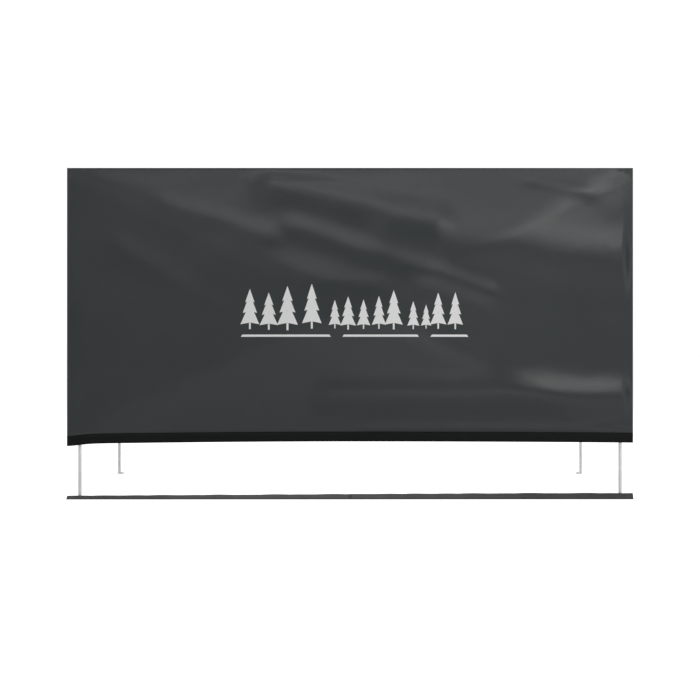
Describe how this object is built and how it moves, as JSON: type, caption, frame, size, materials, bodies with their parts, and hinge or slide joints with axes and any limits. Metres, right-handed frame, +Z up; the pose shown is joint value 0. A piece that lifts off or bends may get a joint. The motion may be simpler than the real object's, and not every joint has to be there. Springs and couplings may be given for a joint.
{
  "type": "pop up ground blind",
  "caption": "Low three-wall pop-up ground blind: charcoal fabric panels on folding hub frames, with a bound hem, ground strap, mesh windows and stake feet.",
  "frame": {"origin": "centre of the bounding box on the ground", "axes": "+X along the front panel to its right as seen from inside, +Y from the front panel towards the open back, +Z up"},
  "size_m": [1.633, 1.0916, 0.878],
  "materials": {
    "coated_fabric": "satin coated weave",
    "webbing": "woven tape",
    "mesh": "open mesh",
    "plastic": "moulded, fine grain",
    "pole": "fibreglass with alloy ferrules",
    "alloy": "satin anodised",
    "steel": "zinc plated"
  },
  "bodies": {
    "front_panel": {"front_hub_body": "plastic", "front_hub_pins": "steel", "front_hub_patch": "plastic", "front_wall": "coated_fabric", "front_binding": "webbing", "front_keepers": "webbing", "base_strap": "webbing"},
    "front_arm_ul": {"front_pole_ul": "pole"},
    "front_arm_ur": {"front_pole_ur": "pole"},
    "front_arm_ll": {"front_pole_ll": "pole"},
    "front_arm_lr": {"front_pole_lr": "pole"},
    "front_corner_l": {"front_corner_l": "plastic"},
    "front_corner_r": {"front_corner_r": "plastic"},
    "front_foot_l": {"front_foot_l": "alloy"},
    "stake_front_l": {"stake_front_l": "steel"},
    "front_foot_r": {"front_foot_r": "alloy"},
    "stake_front_r": {"stake_front_r": "steel"},
    "hinge_sleeve_l": {"hinge_sleeve_l": "steel"},
    "wing_corner_near_l": {"wing_corner_near_l": "plastic"},
    "wing_arm_nt_l": {"wing_pole_nt_l": "pole"},
    "wing_arm_nb_l": {"wing_pole_nb_l": "pole"},
    "wing_arm_ft_l": {"wing_pole_ft_l": "pole"},
    "wing_arm_fb_l": {"wing_pole_fb_l": "pole"},
    "wing_panel_l": {"wing_hub_body_l": "plastic", "wing_hub_pins_l": "steel", "wing_wall_l": "coated_fabric", "wing_binding_l": "webbing", "wing_keepers_l": "webbing", "wing_cap_l": "plastic", "wing_pull_l": "webbing", "window_mesh_l": "mesh", "window_trim_l": "webbing"},
    "wing_ring_near_l": {"wing_ring_near_l": "plastic"},
    "wing_corner_far_l": {"wing_corner_far_l": "plastic"},
    "wing_foot_l": {"wing_foot_l": "alloy"},
    "stake_rear_l": {"stake_rear_l": "steel"},
    "hinge_sleeve_r": {"hinge_sleeve_r": "steel"},
    "wing_corner_near_r": {"wing_corner_near_r": "plastic"},
    "wing_arm_nt_r": {"wing_pole_nt_r": "pole"},
    "wing_arm_nb_r": {"wing_pole_nb_r": "pole"},
    "wing_arm_ft_r": {"wing_pole_ft_r": "pole"},
    "wing_arm_fb_r": {"wing_pole_fb_r": "pole"},
    "wing_panel_r": {"wing_hub_body_r": "plastic", "wing_hub_pins_r": "steel", "wing_wall_r": "coated_fabric", "wing_binding_r": "webbing", "wing_keepers_r": "webbing", "wing_cap_r": "plastic", "wing_pull_r": "webbing", "window_mesh_r": "mesh", "window_trim_r": "webbing"},
    "wing_ring_near_r": {"wing_ring_near_r": "plastic"},
    "wing_corner_far_r": {"wing_corner_far_r": "plastic"},
    "wing_foot_r": {"wing_foot_r": "alloy"},
    "stake_rear_r": {"stake_rear_r": "steel"}
  },
  "joints": [
    {"name": "frame_fold", "type": "hinge", "parent": "front_panel", "child": "front_arm_ul", "pos_m": [-0.03619, -0.53363, 0.5334], "axis": [0.4333, 0, 0.9012], "range_deg": [0, 88], "deforming": ["front_wall", "front_binding", "front_keepers", "base_strap", "wing_wall_l", "wing_binding_l", "wing_keepers_l", "window_mesh_l", "window_trim_l", "wing_wall_r", "wing_binding_r", "wing_keepers_r", "window_mesh_r", "window_trim_r"]},
    {"name": "front_arm_ur_fold", "type": "hinge", "parent": "front_panel", "child": "front_arm_ur", "pos_m": [0.03619, -0.53363, 0.5334], "axis": [0.4333, 0, -0.9012], "range_deg": [0, 88]},
    {"name": "front_arm_ll_fold", "type": "hinge", "parent": "front_panel", "child": "front_arm_ll", "pos_m": [-0.03619, -0.53363, 0.4986], "axis": [-0.4333, 0, 0.9012], "range_deg": [0, 88]},
    {"name": "front_arm_lr_fold", "type": "hinge", "parent": "front_panel", "child": "front_arm_lr", "pos_m": [0.03619, -0.53363, 0.4986], "axis": [-0.4333, 0, -0.9012], "range_deg": [0, 88]},
    {"name": "front_corner_l_level", "type": "hinge", "parent": "front_arm_ul", "child": "front_corner_l", "pos_m": [-0.7175, -0.45417, 0.861], "axis": [-0.4333, 0, -0.9012], "range_deg": [0, 88]},
    {"name": "front_corner_r_level", "type": "hinge", "parent": "front_arm_ur", "child": "front_corner_r", "pos_m": [0.7175, -0.45417, 0.861], "axis": [-0.4333, 0, 0.9012], "range_deg": [0, 88]},
    {"name": "front_foot_l_level", "type": "hinge", "parent": "front_arm_ll", "child": "front_foot_l", "pos_m": [-0.7175, -0.45417, 0.171], "axis": [0.4333, 0, -0.9012], "range_deg": [0, 88]},
    {"name": "front_foot_r_level", "type": "hinge", "parent": "front_arm_lr", "child": "front_foot_r", "pos_m": [0.7175, -0.45417, 0.171], "axis": [0.4333, 0, 0.9012], "range_deg": [0, 88]},
    {"name": "corner_turn_l", "type": "hinge", "parent": "front_corner_l", "child": "hinge_sleeve_l", "pos_m": [-0.7375, -0.45417, 0.861], "axis": [0, 0, 1], "range_deg": [0, 90]},
    {"name": "wing_swing_l", "type": "hinge", "parent": "hinge_sleeve_l", "child": "wing_corner_near_l", "pos_m": [-0.7375, -0.45417, 0.861], "axis": [0, 0, 1], "range_deg": [0, 70]},
    {"name": "wing_arm_nt_fold_l", "type": "hinge", "parent": "wing_corner_near_l", "child": "wing_arm_nt_l", "pos_m": [-0.7375, -0.43617, 0.861], "axis": [0, -0.582, -0.8132], "range_deg": [0, 88]},
    {"name": "wing_hub_level_l", "type": "hinge", "parent": "wing_arm_nt_l", "child": "wing_panel_l", "pos_m": [-0.79666, 0.02152, 0.5334], "axis": [0, 0.582, 0.8132], "range_deg": [0, 88]},
    {"name": "wing_arm_nb_fold_l", "type": "hinge", "parent": "wing_panel_l", "child": "wing_arm_nb_l", "pos_m": [-0.79666, 0.02152, 0.4986], "axis": [0, 0.582, -0.8132], "range_deg": [0, 88]},
    {"name": "wing_arm_ft_fold_l", "type": "hinge", "parent": "wing_panel_l", "child": "wing_arm_ft_l", "pos_m": [-0.79666, 0.07014, 0.5334], "axis": [0, -0.582, 0.8132], "range_deg": [0, 88]},
    {"name": "wing_arm_fb_fold_l", "type": "hinge", "parent": "wing_panel_l", "child": "wing_arm_fb_l", "pos_m": [-0.79666, 0.07014, 0.4986], "axis": [0, 0.582, 0.8132], "range_deg": [0, 88]},
    {"name": "wing_ring_level_l", "type": "hinge", "parent": "wing_arm_nb_l", "child": "wing_ring_near_l", "pos_m": [-0.7375, -0.43617, 0.171], "axis": [0, -0.582, 0.8132], "range_deg": [0, 88]},
    {"name": "wing_far_level_l", "type": "hinge", "parent": "wing_arm_ft_l", "child": "wing_corner_far_l", "pos_m": [-0.7375, 0.52783, 0.861], "axis": [0, 0.582, -0.8132], "range_deg": [0, 88]},
    {"name": "wing_foot_level_l", "type": "hinge", "parent": "wing_arm_fb_l", "child": "wing_foot_l", "pos_m": [-0.7375, 0.52783, 0.171], "axis": [0, -0.582, -0.8132], "range_deg": [0, 88]},
    {"name": "corner_turn_r", "type": "hinge", "parent": "front_corner_r", "child": "hinge_sleeve_r", "pos_m": [0.7375, -0.45417, 0.861], "axis": [0, 0, -1], "range_deg": [0, 90]},
    {"name": "wing_swing_r", "type": "hinge", "parent": "hinge_sleeve_r", "child": "wing_corner_near_r", "pos_m": [0.7375, -0.45417, 0.861], "axis": [0, 0, -1], "range_deg": [0, 70]},
    {"name": "wing_arm_nt_fold_r", "type": "hinge", "parent": "wing_corner_near_r", "child": "wing_arm_nt_r", "pos_m": [0.7375, -0.43617, 0.861], "axis": [0, 0.582, 0.8132], "range_deg": [0, 88]},
    {"name": "wing_hub_level_r", "type": "hinge", "parent": "wing_arm_nt_r", "child": "wing_panel_r", "pos_m": [0.79666, 0.02152, 0.5334], "axis": [0, -0.582, -0.8132], "range_deg": [0, 88]},
    {"name": "wing_arm_nb_fold_r", "type": "hinge", "parent": "wing_panel_r", "child": "wing_arm_nb_r", "pos_m": [0.79666, 0.02152, 0.4986], "axis": [0, -0.582, 0.8132], "range_deg": [0, 88]},
    {"name": "wing_arm_ft_fold_r", "type": "hinge", "parent": "wing_panel_r", "child": "wing_arm_ft_r", "pos_m": [0.79666, 0.07014, 0.5334], "axis": [0, 0.582, -0.8132], "range_deg": [0, 88]},
    {"name": "wing_arm_fb_fold_r", "type": "hinge", "parent": "wing_panel_r", "child": "wing_arm_fb_r", "pos_m": [0.79666, 0.07014, 0.4986], "axis": [0, -0.582, -0.8132], "range_deg": [0, 88]},
    {"name": "wing_ring_level_r", "type": "hinge", "parent": "wing_arm_nb_r", "child": "wing_ring_near_r", "pos_m": [0.7375, -0.43617, 0.171], "axis": [0, 0.582, -0.8132], "range_deg": [0, 88]},
    {"name": "wing_far_level_r", "type": "hinge", "parent": "wing_arm_ft_r", "child": "wing_corner_far_r", "pos_m": [0.7375, 0.52783, 0.861], "axis": [0, -0.582, 0.8132], "range_deg": [0, 88]},
    {"name": "wing_foot_level_r", "type": "hinge", "parent": "wing_arm_fb_r", "child": "wing_foot_r", "pos_m": [0.7375, 0.52783, 0.171], "axis": [0, 0.582, 0.8132], "range_deg": [0, 88]},
    {"name": "stake_front_drive_l", "type": "slide", "parent": "front_foot_l", "child": "stake_front_l", "axis": [0, 0, -1], "range_m": [0, 0.13]},
    {"name": "stake_rear_drive_l", "type": "slide", "parent": "wing_foot_l", "child": "stake_rear_l", "axis": [0, 0, -1], "range_m": [0, 0.13]},
    {"name": "stake_front_drive_r", "type": "slide", "parent": "front_foot_r", "child": "stake_front_r", "axis": [0, 0, -1], "range_m": [0, 0.13]},
    {"name": "stake_rear_drive_r", "type": "slide", "parent": "wing_foot_r", "child": "stake_rear_r", "axis": [0, 0, -1], "range_m": [0, 0.13]}
  ],
  "couplings": [
    {"joint": "front_arm_ur_fold", "follows": "frame_fold", "ratio": 1},
    {"joint": "front_arm_ll_fold", "follows": "frame_fold", "ratio": 1},
    {"joint": "front_arm_lr_fold", "follows": "frame_fold", "ratio": 1},
    {"joint": "front_corner_l_level", "follows": "frame_fold", "ratio": 1},
    {"joint": "front_corner_r_level", "follows": "frame_fold", "ratio": 1},
    {"joint": "front_foot_l_level", "follows": "frame_fold", "ratio": 1},
    {"joint": "front_foot_r_level", "follows": "frame_fold", "ratio": 1},
    {"joint": "corner_turn_l", "follows": "frame_fold", "ratio": 1.0227},
    {"joint": "wing_arm_nt_fold_l", "follows": "frame_fold", "ratio": 1},
    {"joint": "wing_hub_level_l", "follows": "frame_fold", "ratio": 1},
    {"joint": "wing_arm_nb_fold_l", "follows": "frame_fold", "ratio": 1},
    {"joint": "wing_arm_ft_fold_l", "follows": "frame_fold", "ratio": 1},
    {"joint": "wing_arm_fb_fold_l", "follows": "frame_fold", "ratio": 1},
    {"joint": "wing_ring_level_l", "follows": "frame_fold", "ratio": 1},
    {"joint": "wing_far_level_l", "follows": "frame_fold", "ratio": 1},
    {"joint": "wing_foot_level_l", "follows": "frame_fold", "ratio": 1},
    {"joint": "corner_turn_r", "follows": "frame_fold", "ratio": 1.0227},
    {"joint": "wing_arm_nt_fold_r", "follows": "frame_fold", "ratio": 1},
    {"joint": "wing_hub_level_r", "follows": "frame_fold", "ratio": 1},
    {"joint": "wing_arm_nb_fold_r", "follows": "frame_fold", "ratio": 1},
    {"joint": "wing_arm_ft_fold_r", "follows": "frame_fold", "ratio": 1},
    {"joint": "wing_arm_fb_fold_r", "follows": "frame_fold", "ratio": 1},
    {"joint": "wing_ring_level_r", "follows": "frame_fold", "ratio": 1},
    {"joint": "wing_far_level_r", "follows": "frame_fold", "ratio": 1},
    {"joint": "wing_foot_level_r", "follows": "frame_fold", "ratio": 1}
  ]
}
